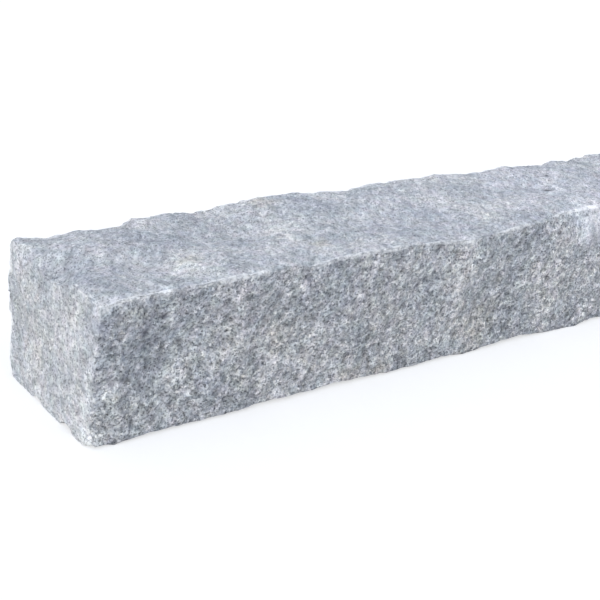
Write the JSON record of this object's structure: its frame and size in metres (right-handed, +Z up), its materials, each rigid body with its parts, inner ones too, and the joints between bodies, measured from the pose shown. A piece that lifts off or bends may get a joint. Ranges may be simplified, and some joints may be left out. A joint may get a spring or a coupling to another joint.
{
  "type": "granite palisade",
  "caption": "Long split granite bar of near-square section with rough faces and broken arrises; laid or set upright as garden edging and retaining stone.",
  "frame": {"origin": "centre of the bounding box in plan, on the plane of the flat bed that the bar lies on", "axes": "+X along the bar from the near end to the far end, -Y the front face, +Z up away from the bed"},
  "size_m": [1, 0.13, 0.112],
  "materials": {
    "granite": "split light grey granite, fine to medium grain, matt, with paler crushed arrises"
  },
  "bodies": {
    "root": {"palisade": "granite"}
  },
  "joints": []
}
